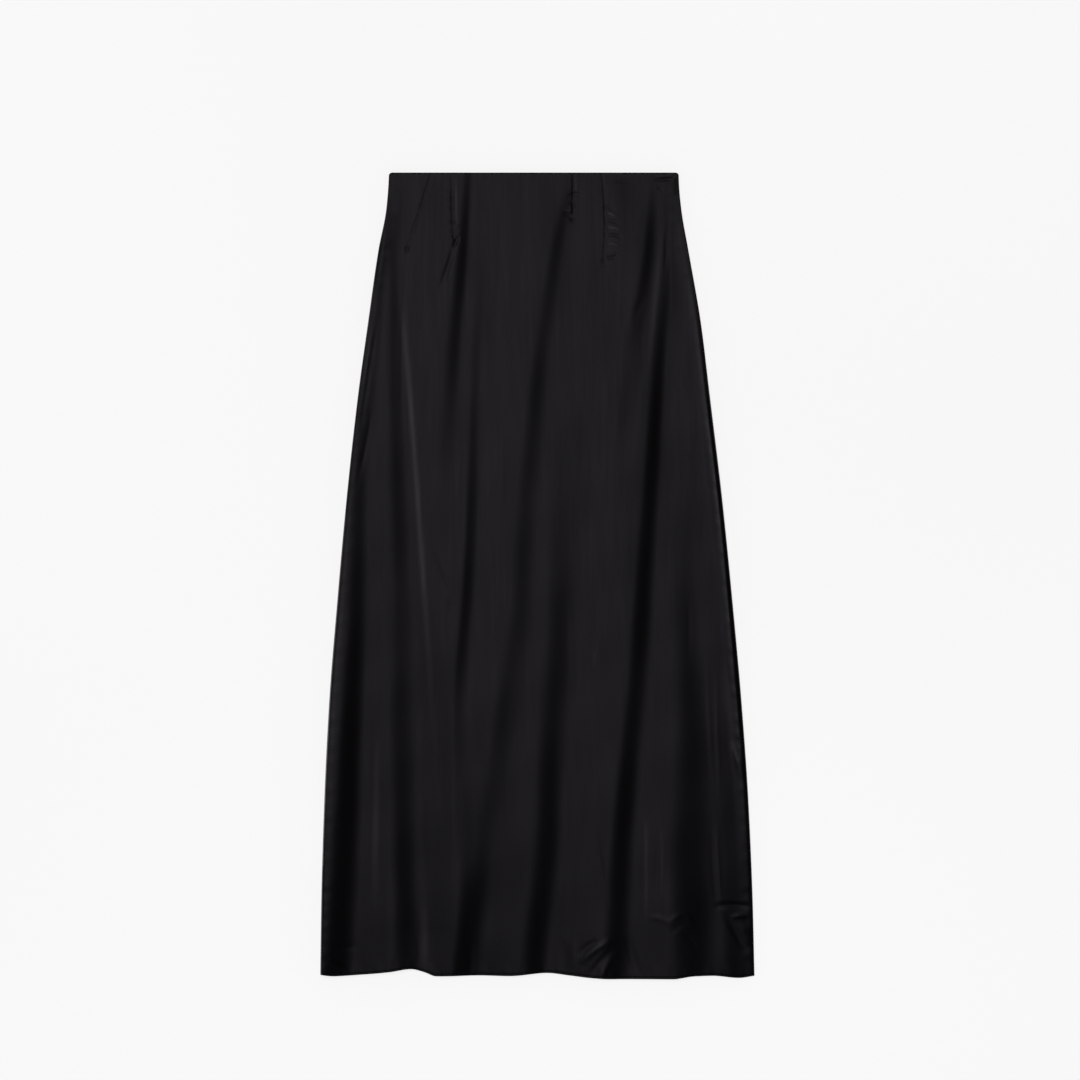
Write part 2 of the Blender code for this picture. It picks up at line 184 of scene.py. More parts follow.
# How steep the cloth is on that line, in degrees.
FOLD_SLOPES = {
    "edge_fold": (0, 5, 5, 9, 13, 19, 20, 20, 19),
    "left_valley": (0, 6, 8, 8, 9, 13, 16, 17, 17),
    "crease_a": (6, 12, 9, 4, 0, 0, 0, 0, 0),
    "crease_b": (0, 0, 5, 8, 14, 10, 5, 0, 0),
    "hem_fold": (0, 0, 0, 0, 0, 2, 8, 20, 20),
    "crease_c": (1, 6, 6, 6.5, 7, 9, 7, 2, 0),
    "crease_d": (0, 0, 0, 2, 6, 11, 16, 19, 18),
    "crease_e": (0, 10, 4, 1, 1, 2, 2, 2, 2),
    "crease_f": (0, 2, 11, 14, 14, 14, 18, 18, 16),
    "right_valley": (0, 0, 0, 1, 4, 9, 13, 15, 14),
    "right_hem_fold": (0, 0, 0, 0, 0, 2, 5, 9, 10),
}

# Every fold drops to its right. How far its steep part reaches to its low and its high side, in
# mm, at the waist and at the hem.
Fold = namedtuple("Fold", "waist_low waist_high hem_low hem_high")
FOLDS = {
    "edge_fold": Fold(6, 5, 30, 26),
    "left_valley": Fold(10, 7, 38, 26),
    "crease_a": Fold(6, 8, 40, 45),
    "crease_b": Fold(8, 6, 24, 12),
    "hem_fold": Fold(10, 10, 32, 22),
    "crease_c": Fold(9, 10, 40, 24),
    "crease_d": Fold(22, 22, 27, 27),
    "crease_e": Fold(7, 7, 50, 40),
    "crease_f": Fold(6, 8, 28, 22),
    "right_valley": Fold(5, 5, 42, 38),
    "right_hem_fold": Fold(6, 6, 34, 20),
}

# How far the cloth takes to go back to its even height, on either side of the steep part: this
# many mm, and this share of the steep part's width.
RETURN_LENGTH = 70.0
RETURN_SHARE = 0.9

# The area under the bell (1 - u^2)^2 from its middle to its end. It gives the slope across a fold.
BELL_AREA = 8 / 15

# Short creases and ridges pressed into the cloth: a line from start, drawn towards bend, to end,
# each (across, down); how far it reaches to its left and right, for a line that runs to the hem
# (a line that runs across has the hem on its left); and its height, minus for a groove. All in mm.
# Shine is how far rubbing and pressing has polished the cloth there, from 0 to 1.
Wrinkle = namedtuple("Wrinkle", "start bend end left right height shine", defaults=(0,))
FRONT_WRINKLES = (
    # The long thin ridge to the right of the left valley, and the shorter ones beside it.
    Wrinkle((-168, 120), (-147, 355), (-127, 711), 6, 7, 0.22, 1.0),
    Wrinkle((-195, 690), (-199, 800), (-200, 905), 6, 7, 0.16, 0.9),
    Wrinkle((-139, 895), (-138, 940), (-137, 1000), 5, 7, 0.20, 0.9),
    Wrinkle((-146, 930), (-145, 952), (-144, 990), 3, 3, -0.15),
    Wrinkle((-161, 100), (-166, 200), (-166, 330), 4, 5, -0.16),
    # Creases that leave the left seam.
    Wrinkle((-194, 175), (-208, 262), (-217, 322), 4, 4, -0.34),
    Wrinkle((-201, 288), (-208, 335), (-221, 382), 4, 4, -0.34),
    Wrinkle((-186, 60), (-190, 95), (-198, 150), 3, 3, -0.20),
    Wrinkle((-202, 190), (-206, 229), (-212, 268), 3, 3, 0.08, 0.5),
    # The dimple at the point of the left dart and the crease that runs down from it.
    Wrinkle((-97, 77), (-98, 84), (-103, 92), 4, 3.5, -1.00),
    Wrinkle((-101, 88), (-107, 112), (-119, 144), 5, 5, -0.62),
    Wrinkle((-99, 2), (-99, 34), (-98, 66), 2.4, 2.4, 0.10, 0.7),
    Wrinkle((-112, 22), (-106, 24), (-100, 23), 1.8, 1.8, -0.24),
    Wrinkle((-113, 31), (-106, 34), (-100, 32), 1.8, 1.8, -0.26),
    Wrinkle((-110, 42), (-104, 44), (-99, 43), 1.8, 1.8, -0.24),
    Wrinkle((-109, 58), (-103, 61), (-97, 59), 2.0, 2.0, -0.28),
    Wrinkle((-107, 70), (-101, 73), (-95, 70), 2.0, 2.0, -0.28),
    # Creases round the point of the inner right dart.
    Wrinkle((37, 30), (46, 22), (55, 31), 2.6, 2.6, -0.36, 0.2),
    Wrinkle((37, 36), (50, 40), (41, 54), 2.6, 2.6, -0.46),
    Wrinkle((33, 45), (41, 50), (47, 42), 2.4, 2.4, 0.26, 0.7),
    Wrinkle((30, 52), (38, 46), (44, 62), 2.4, 2.4, -0.36),
    Wrinkle((47, 2), (48, 14), (47, 27), 2.0, 2.0, 0.10, 0.5),
    # Creases beside the right dart.
    Wrinkle((80, 44), (87, 40), (95, 46), 2.8, 2.8, -0.34),
    Wrinkle((81, 51), (89, 48), (97, 54), 2.6, 2.6, 0.24, 0.8),
    Wrinkle((82, 60), (91, 57), (101, 63), 2.8, 2.8, -0.44),
    Wrinkle((84, 68), (93, 65), (103, 71), 2.6, 2.6, 0.26, 0.9),
    Wrinkle((84, 78), (94, 73), (104, 81), 2.8, 2.8, -0.48),
    Wrinkle((85, 88), (93, 85), (101, 91), 2.6, 2.6, 0.26, 0.7),
    Wrinkle((82, 101), (91, 108), (99, 99), 3.0, 3.0, -0.50),
    # The tops of the two long creases on the right.
    Wrinkle((131, 150), (123, 164), (116, 181), 5, 5, -0.30),
    Wrinkle((106, 150), (107, 170), (105, 192), 6, 6, -0.20),
    Wrinkle((156, 50), (146, 150), (132, 268), 6, 6, 0.12, 0.5),
    Wrinkle((161, 50), (164, 110), (163, 175), 3, 3, 0.06, 0.5),
    Wrinkle((157, 70), (157, 95), (156, 122), 3, 3, -0.18),
    Wrinkle((118, 235), (112, 300), (104, 372), 16, 16, -0.35),
    # Small marks and crumples over the middle.
    Wrinkle((182, 346), (193, 353), (206, 366), 3, 3, -0.22),
    Wrinkle((-131, 455), (-122, 490), (-108, 516), 5, 6, -0.42),
    Wrinkle((-107, 518), (-106, 529), (-106, 541), 4, 4, -0.24),
    Wrinkle((69, 460), (80, 500), (91, 528), 5, 5, -0.24),
    Wrinkle((69, 580), (70, 593), (69, 606), 4, 4, 0.16, 0.4),
    Wrinkle((184, 515), (185, 550), (184, 590), 4, 4, -0.14),
    Wrinkle((61, 330), (62, 360), (60, 395), 4, 4, 0.10),
    Wrinkle((40, 520), (46, 570), (42, 640), 7, 7, 0.16),
    Wrinkle((72, 640), (66, 700), (70, 770), 6, 7, -0.20),
    # Ripples beside the right seam.
    Wrinkle((207, 590), (209, 670), (214, 750), 4, 4, 0.18, 0.3),
    Wrinkle((217, 610), (219, 690), (223, 764), 4, 4, 0.18, 0.4),
    Wrinkle((226, 585), (235, 660), (243, 730), 9, 7, 0.10, 0.7),
    Wrinkle((236, 694), (243, 712), (249, 738), 6, 6, 0.50, 0.7),
    Wrinkle((240, 688), (247, 698), (252, 706), 5, 4, -0.60),
    Wrinkle((233, 585), (238, 610), (240, 640), 4, 4, 0.16, 0.3),
    # Crumples above the hem on the right.
    Wrinkle((72, 800), (76, 850), (88, 898), 4, 4, -0.34),
    Wrinkle((132, 785), (133, 850), (131, 920), 4, 5, 0.22, 0.9),
    Wrinkle((152, 800), (153, 845), (149, 893), 4, 5, 0.22, 0.5),
    Wrinkle((146, 800), (147, 845), (144, 890), 4, 4, -0.24),
    Wrinkle((134, 910), (149, 904), (161, 917), 5, 6, 0.24, 0.3),
    Wrinkle((158, 918), (168, 905), (179, 905), 5, 6, 0.34, 0.5),
    Wrinkle((177, 903), (187, 906), (190, 923), 5, 5, 0.28, 0.4),
    Wrinkle((160, 930), (170, 917), (181, 915), 5, 5, -0.26),
    Wrinkle((176, 929), (187, 933), (193, 948), 5, 5, -0.30),
    Wrinkle((218, 790), (219, 850), (224, 898), 3, 5, 0.34, 0.6),
    Wrinkle((212, 800), (214, 860), (219, 900), 4, 4, -0.30),
    Wrinkle((215, 897), (236, 890), (264, 897), 5, 5, -0.95),
    Wrinkle((236, 910), (246, 903), (256, 909), 5, 4, 0.70, 0.9),
    Wrinkle((228, 902), (238, 925), (256, 952), 6, 7, -0.60),
    Wrinkle((242, 905), (252, 922), (260, 947), 8, 9, 0.50, 0.8),
    # Crumples on the hem edge.
    Wrinkle((52, 968), (64, 948), (92, 934), 6, 6, 0.75, 0.7),
    Wrinkle((50, 958), (60, 942), (74, 936), 5, 5, -0.55),
    Wrinkle((62, 984), (76, 960), (94, 944), 6, 6, -0.70),
    Wrinkle((72, 996), (80, 972), (92, 958), 5, 6, 0.45, 0.4),
    Wrinkle((32, 940), (35, 962), (30, 985), 7, 7, -0.34),
    Wrinkle((44, 935), (44, 955), (44, 985), 5, 5, 0.26),
    Wrinkle((108, 930), (116, 955), (126, 985), 8, 8, -0.40),
    Wrinkle((-82, 940), (-80, 958), (-84, 992), 6, 6, -0.26),
    Wrinkle((-256, 962), (-244, 964), (-230, 976), 5, 5, 0.45, 0.8),
    Wrinkle((-252, 944), (-236, 950), (-218, 946), 6, 6, -0.34),
    # The pressed edge of the seam allowance under the right corner of the waist.
    Wrinkle((142, 9.6), (156, 8.6), (168, 7.0), 2.6, 2.6, -0.60),
    Wrinkle((142, 4.8), (156, 4.0), (167, 3.2), 1.6, 1.6, 0.10, 0.7),
    Wrinkle((146, 17), (150, 21), (154, 19), 3, 3, -0.30),
    Wrinkle((92, 9), (106, 11), (120, 9), 3.4, 3.4, -0.26),
)

# The darts sewn into the waist, each (across, down): where the seam leaves the waist edge, where
# it bends and where it ends.
Dart = namedtuple("Dart", "top bend point")
FRONT_DARTS = (
    Dart((-125, -12), (-141, 40), (-163, 106)),
    Dart((-104, -10), (-105, 46), (-101, 86)),
    Dart((44, -8), (44, 28), (43, 64)),
    Dart((77, -14), (88, 64), (79, 118)),
)
BACK_DARTS = (
    Dart((-72, -20), (-72, 60), (-68, 142)),
    Dart((66, -20), (66, 60), (62, 142)),
)
DART_REACH = 2.4
DART_DEPTH = 0.42
DIMPLE_REACH = 3.0

# The puckers along a dart, in mm, with their tilt and how far along the dart the last one may be.
PUCKER_SPACING = 11.0
PUCKER_LENGTH = 9.0
PUCKER_HEIGHT = 0.16
PUCKER_REACH = 3.2
PUCKER_TILT = 0.25
LAST_PUCKER = 0.94

# Soft creases of the back, seen from beneath, where the cloth stands a little off the floor.
BACK_WRINKLES = (
    Wrinkle((-150, 40), (-165, 330), (-150, 700), 7, 11, 0.45),
    Wrinkle((-96, 180), (-118, 520), (-112, 960), 10, 14, 0.50),
    Wrinkle((-40, 420), (-30, 640), (-58, 1000), 12, 9, 0.50),
    Wrinkle((8, 150), (-10, 360), (-4, 560), 6, 9, 0.35),
    Wrinkle((26, 560), (40, 780), (22, 1010), 11, 12, 0.50),
    Wrinkle((88, 110), (104, 420), (84, 760), 8, 10, 0.45),
    Wrinkle((120, 640), (118, 800), (134, 1010), 13, 10, 0.50),
    Wrinkle((150, 90), (182, 300), (186, 560), 6, 8, 0.40),
    Wrinkle((190, 600), (205, 780), (196, 1000), 10, 12, 0.50),
    Wrinkle((-205, 420), (-222, 640), (-214, 900), 8, 9, 0.45),
    Wrinkle((-66, 150), (-60, 190), (-66, 240), 4, 4, 0.35),
    Wrinkle((60, 148), (52, 196), (60, 250), 4, 4, 0.35),
    Wrinkle((150, 930), (162, 944), (180, 950), 6, 6, 0.40),
    Wrinkle((-190, 940), (-172, 930), (-150, 944), 6, 6, 0.40),
)

# Slow waves that keep the cloth from lying dead even: lengths across and down and height, in mm,
# and where in its turn each one starts, in radians.
Wave = namedtuple("Wave", "across down height start")
WAVES = (
    Wave(74, 520, 0.12, 0.3),
    Wave(-47, 380, 0.07, 1.7),
    Wave(118, -240, 0.20, 4.1),
    Wave(33, 900, 0.035, 2.2),
    Wave(160, 95, 0.10, 5.0),
)
WAVES_TO_SIDE = 25.0
WAVES_TO_WAIST = 20.0

# Puckers along the sewn edges.
SIDE_RIPPLES = (Wave(0, 17, 0.10, 0.4), Wave(0, 29, 0.08, 2.1))
HEM_RIPPLES = (Wave(13, 0, 0.06, 1.1), Wave(31, 0, 0.10, 3.0))
RIPPLE_MIDDLE = 5.0
RIPPLE_REACH = 12.0

# The ridge that the seam allowance lifts beside the right seam, in mm, at the nine sections.
SEAM_RIDGE = (0, 0.15, 0.5, 0.9, 0.9, 0.9, 0.5, 0.3, 0.3)
SEAM_RIDGE_START = 19.0
SEAM_RIDGE_CREST = 5.0
SEAM_RIDGE_FOOT = 1.6

# How far pressing has polished the cloth beside each side seam, at the nine sections: the middle
# of the band and its reach are in mm from the seam.
Polish = namedtuple("Polish", "middle reach shine")
LEFT_POLISH = Polish(6.0, 5.0, (0, 0.1, 0.2, 0.3, 0.4, 0.5, 0.2, 0, 0))
RIGHT_POLISH = Polish(6.0, 7.0, (0, 0.2, 0.6, 0.9, 0.9, 0.9, 0.2, 0.1, 0.1))

# How finely the shells are divided: the steps beside an edge, in mm, and then the rows of each
# zone and the columns. The inner face takes every second point, so a shell's rows and its
# columns are odd in number.
EDGE_STEPS = (0.0, 0.35, 0.9, 1.8, 3.0)
HEM_STEPS = (0.0, 0.35, 0.9, 1.4, 1.9, 2.4, 2.9, 3.5, 4.4, 5.6, 7.2, 9.2, 11.4, 14.0)
FRONT_COLUMNS = 257
WAIST_ZONE = 140.0
WAIST_ROWS = 88
LOW_ZONE = 870.0
LONG_ROWS = 146
LOW_ROWS = 46
BACK_COLUMNS = 161
BACK_ROWS = 200

# The zip's looks, in mm.
COIL_PITCH = 1.25
COIL_WIRE = 0.28
COIL_TURN_STEPS = 10
TAPE_RINGS = 121
METAL_EDGE = 0.18
METAL_EDGE_DEGREES = 35

# The tape's section: points inward from its outer side, and half its thickness there.
TapeRib = namedtuple("TapeRib", "inward half_thickness")
TAPE_RIBS = (
    TapeRib(TAPE_WIDTH, 0.10),
    TapeRib(10.8, 0.22),
    TapeRib(10.2, 0.24),
    TapeRib(9.8, 0.18),
    TapeRib(6.4, 0.18),
    TapeRib(5.2, 0.28),
    TapeRib(4.4, 0.28),
    TapeRib(3.8, 0.18),
    TapeRib(2.6, 0.18),
    TapeRib(1.6, 0.26),
    TapeRib(0.9, 0.12),
)

# The studio, in metres, with the lens and its sensor in mm. The photograph's frame takes in this
# width of the surface, round this middle.
PHOTO_WIDTH = 1.3176
PHOTO_MIDDLE = (0.0032, 0.0435)
LENS = 200.0
SENSOR = 36.0
CAMERA_REACH = 50.0
FLOOR_REACH = 14.0
FLOOR_DROP = 0.0002

# The softboxes, aimed at the middle of the skirt: place and size in metres, power in watts.
Softbox = namedtuple("Softbox", "name place size power")
SOFTBOXES = (
    Softbox("overhead_softbox", (-0.9, 1.08, 8.0), (2.6, 3.1), 61.5),
    Softbox("left_strip_box", (-2.5, 0.75, 7.5), (0.5, 3.6), 8.0),
)

# The walls' brightness, low and high, and the upright part of the directions between which it fades.
WALL_TONES = (0.30, 0.02)
WALL_TOPS = (0.15, 0.42)
END_WALL_TONES = (0.12, 0.0)
END_WALL_TOPS = (0.50, 0.85)


def column_of(rows, field):
    """One named column of a table, as an array."""
    return np.array([getattr(row, field) for row in rows], float)


def smooth(stations, values, at):
    """A smooth curve through the given values, which doesn't overshoot between them."""
    stations = np.asarray(stations, float)
    values = np.asarray(values, float)
    at = np.clip(np.asarray(at, float), stations[0], stations[-1])
    steps = np.diff(stations)
    secants = np.diff(values) / steps
    before, after = secants[:-1], secants[1:]
    same_way = before * after > 0
    inner = np.where(same_way, 2 * before * after / np.where(same_way, before + after, 1), 0.0)
    slopes = np.concatenate([secants[:1], inner, secants[-1:]])
    place = np.clip(np.searchsorted(stations, at, side="right") - 1, 0, len(steps) - 1)
    step = steps[place]
    t = (at - stations[place]) / step
    rise = values[place + 1] - values[place]
    bend = slopes[place] * step * t * (1 - t) ** 2 - slopes[place + 1] * step * t**2 * (1 - t)
    return values[place] + rise * t**2 * (3 - 2 * t) + bend


def by_section(values, down):
    """A value that is given at the nine sections, at any place down."""
    return smooth(column_of(SECTIONS, "down"), values, down)


def corner_inset(down):
    """How far the rounded waist corners step in from the side seams."""
    below_corner = np.clip(CORNER_RADIUS - down, 0, CORNER_RADIUS)
    return CORNER_RADIUS - np.sqrt(CORNER_RADIUS**2 - below_corner**2)


def left_seam(down):
    """Where the left side seam runs, in mm across."""
    return smooth(column_of(SIDES, "down"), column_of(SIDES, "left"), down) + corner_inset(down)


def right_seam(down):
    """Where the right side seam runs, in mm across."""
    return smooth(column_of(SIDES, "down"), column_of(SIDES, "right"), down) - corner_inset(down)


def hem_lift(across):
    """How far the hem edge is drawn up, in mm."""
    return smooth(column_of(HEM_LIFTS, "across"), column_of(HEM_LIFTS, "lift"), across)


def hem_share(down):
    """How much of the hem's lift reaches a row: none above the last stretch, all of it at the edge."""
    return np.clip((down - (LENGTH - HEM_LIFT_REACH)) / HEM_LIFT_REACH, 0, 1)


def fold_widths(name, down):
    """How far the steep part of a fold reaches to its low side and to its high side."""
    fold, share = FOLDS[name], down / LENGTH
    low = fold.waist_low + (fold.hem_low - fold.waist_low) * share
    high = fold.waist_high + (fold.hem_high - fold.waist_high) * share
    return low, high


def bell_to(u):
    """The area under the bell (1 - u^2)^2 from its middle to u, which is at most 1."""
    u = np.clip(u, 0, 1)
    return u - 2 * u**3 / 3 + u**5 / 5


def fading(distance, run):
    """1 at no distance, easing to 0 at the end of the run."""
    t = np.clip(distance / run, 0, 1)
    return 1 - t**2 * (3 - 2 * t)


def fold_offset(name, across, down):
    """Height that one fold adds: the cloth eases down to its low side, climbs steeply and eases back."""
    low, high = fold_widths(name, down)
    uphill = by_section(FOLD_PATHS[name], down) - across
    width = low + high
    climbed = low * (BELL_AREA - bell_to(-uphill / low)) + high * bell_to(uphill / high)
    share = climbed / (BELL_AREA * width) - 0.5
    run = RETURN_LENGTH + RETURN_SHARE * width
    slope = np.tan(np.radians(by_section(FOLD_SLOPES[name], down)))
    return slope * BELL_AREA * width * share * fading(-low - uphill, run) * fading(uphill - high, run)


def right_seam_height(down):
    """The right seam stands open over the zip and closes just below it."""
    closing = np.clip((down - ZIP_END) / ZIP_RUN_OUT, 0, 1)
    closed = closing**2 * (3 - 2 * closing)
    return ZIP_SEAM + (SEAM_GAP - ZIP_SEAM) * closed


def edge_rise(distance, roll):
    """How the cloth rounds up from a side seam, from 0 there to 1 past the roll."""
    t = np.clip(distance / roll, 0, 1)
    return np.sqrt(t * (2 - t))


def front_underside(across, down):
    """Height in mm of the inner face of the front panel's solid."""
    height = by_section(column_of(SECTIONS, "loft"), down) + np.zeros_like(across)
    for name in FOLDS:
        height = height + fold_offset(name, across, down)
    roll = by_section(column_of(SECTIONS, "roll"), down)
    height = height * edge_rise(across - left_seam(down), roll)
    right_height = right_seam_height(down)
    rise = edge_rise(right_seam(down) - across, roll)
    height = right_height + (height - right_height) * rise
    return BACK_TOP + np.maximum(height, SEAM_GAP)


def bell(u):
    """1 in the middle, easing to 0 at 1 on either side."""
    return (1 - np.clip(u**2, 0, 1)) ** 2


def curve_points(start, bend, end, steps=16):
    """Points along a smooth line from start, drawn towards bend, to end."""
    t = np.linspace(0, 1, steps + 1)[:, None]
    start, bend, end = (np.array(point, float) for point in (start, bend, end))
    return (1 - t) ** 2 * start + 2 * t * (1 - t) * bend + t**2 * end


def beside_line(line, across, down):
    """How far each point lies to the right of a line, and how far along it as a share."""
    point = np.stack([across, down], axis=-1)[:, None, :]
    start, step = line[:-1], np.diff(line, axis=0)
    t = np.clip(((point - start) * step).sum(axis=-1) / (step**2).sum(axis=-1), 0, 1)
    away = point - (start + t[..., None] * step)
    distance = np.linalg.norm(away, axis=-1)
    nearest = distance.argmin(axis=1)
    pick = np.arange(len(across))
    away, step = away[pick, nearest], step[nearest]
    side = np.sign(step[:, 1] * away[:, 0] - step[:, 0] * away[:, 1])
    return side * distance[pick, nearest], (nearest + t[pick, nearest]) / (len(line) - 1)


def sum_wrinkles(across, down, wrinkles, field):
    """The summed height or shine of short creases and ridges. Each fades out at both ends."""
    total = np.zeros_like(across)
    for wrinkle in wrinkles:
        line = curve_points(wrinkle.start, wrinkle.bend, wrinkle.end)
        reach = max(wrinkle.left, wrinkle.right)
        near = np.abs(across - line[:, 0].mean()) < reach + np.ptp(line[:, 0])
        near &= np.abs(down - line[:, 1].mean()) < reach + np.ptp(line[:, 1])
        distance, share = beside_line(line, across[near], down[near])
        u = distance / np.where(distance < 0, wrinkle.left, wrinkle.right)
        total[near] += getattr(wrinkle, field) * bell(u) * np.sqrt(bell(2 * share - 1))
    return total


def dart_wrinkles(darts):
    """The groove of each dart's seam, a deeper dimple at its point, and puckers on both sides."""
    wrinkles = []
    for number, dart in enumerate(darts):
        line = curve_points(dart.top, dart.bend, dart.point)
        length = np.linalg.norm(np.diff(line, axis=0), axis=1).sum()
        wrinkles.append(Wrinkle(dart.top, dart.bend, dart.point, DART_REACH, DART_REACH, -DART_DEPTH))
        dimple = line[-3:-1]
        middle = tuple(dimple.mean(axis=0))
        ends = tuple(dimple[0]), tuple(dimple[1])
        wrinkles.append(Wrinkle(ends[0], middle, ends[1], DIMPLE_REACH, DIMPLE_REACH, -DART_DEPTH))
        count = int(length / PUCKER_SPACING)
        # Sines of whole numbers make each pucker differ from the next.
        for k in range(1, count):
            share = (k + 0.3 * math.sin(5 * k + number)) / count
            at = len(line) * min(share, LAST_PUCKER)
            here, following = line[int(at)], line[min(int(at) + 1, len(line) - 1)]
            here = here + (at - int(at)) * (following - here)
            if here[1] < PUCKER_SPACING / 2:
                continue
            half = PUCKER_LENGTH * (0.7 + 0.3 * math.sin(3 * k + 2 * number))
            tilt = PUCKER_TILT * math.sin(7 * k + number)
            height = PUCKER_HEIGHT * (-1) ** k * (0.7 + 0.3 * math.cos(4 * k))
            start = (here[0] - half, here[1] - tilt * half)
            end = (here[0] + half, here[1] + tilt * half)
            wrinkles.append(Wrinkle(start, tuple(here), end, PUCKER_REACH, PUCKER_REACH, height))
    return wrinkles


def wave_height(across, down, waves):
    """The summed height of slow waves. A length of 0 means that the wave doesn't run that way."""
    height = np.zeros_like(across)
    for wave in waves:
        turns = wave.start / (2 * math.pi)
        for place, length in ((across, wave.across), (down, wave.down)):
            if length:
                turns = turns + place / length
        height = height + wave.height * np.sin(2 * math.pi * turns)
    return height


def seam_ridge(distance, down):
    """The ridge over the seam allowance, by distance from the right seam."""
    climb = fading(distance - SEAM_RIDGE_CREST, SEAM_RIDGE_START - SEAM_RIDGE_CREST)
    foot = 1 - fading(distance - SEAM_RIDGE_FOOT, SEAM_RIDGE_CREST - SEAM_RIDGE_FOOT)
    return by_section(SEAM_RIDGE, down) * climb * foot


def upright_share(x, y, z):
    """The upright part of the surface normal at each point of a grid."""
    along = np.stack([np.gradient(a, axis=0) for a in (x, y, z)], axis=-1)
    over = np.stack([np.gradient(a, axis=1) for a in (x, y, z)], axis=-1)
    normal = np.cross(along, over)
    return np.abs(normal[..., 2]) / np.linalg.norm(normal, axis=-1)


def to_world(across, down, height):
    """Pattern coordinates in mm to world points in metres."""
    return np.stack([across * MM, (LENGTH / 2 - down) * MM, height * MM], axis=-1)


def panel_grid(rows, columns):
    """A grid of (across, down) between the side seams, with finer steps along both seams."""
    left, right = left_seam(rows)[:, None], right_seam(rows)[:, None]
    edge = np.array(EDGE_STEPS)
    middle = np.linspace(0, 1, columns - 2 * len(edge) + 2)[1:-1]
    start, end = left + edge[-1], right - edge[-1]
    across = np.concatenate([left + edge, start + (end - start) * middle, right - edge[::-1]], axis=1)
    down = np.repeat(rows[:, None], across.shape[1], axis=1)
    return across, down


def edge_rounding(distance):
    """How far the outer face dips at a distance from a sewn or turned edge."""
    inside = np.clip(EDGE_ROUND - distance, 0, EDGE_ROUND)
    return EDGE_ROUND - np.sqrt(EDGE_ROUND**2 - inside**2)


def front_top(across, down, cloth_down):
    """Height of the front's outer face: that of its solid, with its sewing and small creases."""
    under = front_underside(across, down)
    share = np.maximum(upright_share(across, -cloth_down, under), STEEPEST)
    to_left, to_right = across - left_seam(down), right_seam(down) - across
    to_side = np.minimum(to_left, to_right)
    to_hem = LENGTH - down
    outer = under + WALL / share
    outer += sum_wrinkles(across, down, list(FRONT_WRINKLES) + dart_wrinkles(FRONT_DARTS), "height")
    waves = wave_height(across, down, WAVES)
    outer += waves * (1 - fading(to_side, WAVES_TO_SIDE)) * (1 - fading(down, WAVES_TO_WAIST))
    outer += seam_ridge(to_right, down)
    outer += wave_height(across, down, SIDE_RIPPLES) * bell((to_side - RIPPLE_MIDDLE) / RIPPLE_REACH)
    outer += wave_height(across, down, HEM_RIPPLES) * bell((to_hem - RIPPLE_MIDDLE) / RIPPLE_REACH)
    outer -= GROOVE_DEPTH * bell((to_hem - HEM_STITCH_UP) / GROOVE_REACH)
    return outer, share


def front_polish(across, down):
    """How far each point of the front is polished, from 0 to 1."""
    shine = sum_wrinkles(across, down, FRONT_WRINKLES, "shine")
    for band, distance in (
        (LEFT_POLISH, across - left_seam(down)),
        (RIGHT_POLISH, right_seam(down) - across),
    ):
        shine += by_section(band.shine, down) * bell((distance - band.middle) / band.reach)
    return np.clip(shine, 0, 1)


Surface = namedtuple("Surface", "rows across cloth_down outer inner polish")


def front_surface():
    """The front shell as a grid, with the heights of its outer and inner faces."""
    rows = np.concatenate(
        [
            EDGE_STEPS[:-1],
            np.linspace(EDGE_STEPS[-1], WAIST_ZONE, WAIST_ROWS),
            np.linspace(WAIST_ZONE, LOW_ZONE, LONG_ROWS + 1)[1:],
            np.linspace(LOW_ZONE, LENGTH - HEM_STEPS[-1], LOW_ROWS + 1)[1:],
            LENGTH - np.array(HEM_STEPS[-2::-1]),
        ]
    )
    across, down = panel_grid(rows, FRONT_COLUMNS)
    cloth_down = down - hem_share(down) * hem_lift(across)
    outer, share = front_top(across, down, cloth_down)
    turned = np.clip((down - (LENGTH - HEM_TURN - HEM_STEP)) / HEM_STEP, 0, 1)
    thickness = SATIN + (HEM_SATIN - SATIN) * turned
    to_side = np.minimum(across - left_seam(down), right_seam(down) - across)
    thickness = np.maximum(thickness, SATIN + (WALL - SATIN) * fading(to_side, SEAM_ALLOWANCE))
    inner = np.maximum(outer - thickness / share, BACK_TOP + SEAM_GAP)
    to_edge = np.minimum(to_side, np.minimum(down, LENGTH - down))
    outer = np.maximum(outer - edge_rounding(to_edge), inner + LEAST_CLOTH)
    return Surface(rows, across, cloth_down, outer, inner, front_polish(across, down))


def height_on(surface, across, down):
    """Height of the outer face at single points."""
    heights = []
    for a, d in zip(across, down):
        row = int(np.clip(np.searchsorted(surface.rows, d) - 1, 0, len(surface.rows) - 2))
        share = (d - surface.rows[row]) / (surface.rows[row + 1] - surface.rows[row])
        above, below = (np.interp(a, surface.across[r], surface.outer[r]) for r in (row, row + 1))
        heights.append(above + (below - above) * share)
    return np.array(heights)


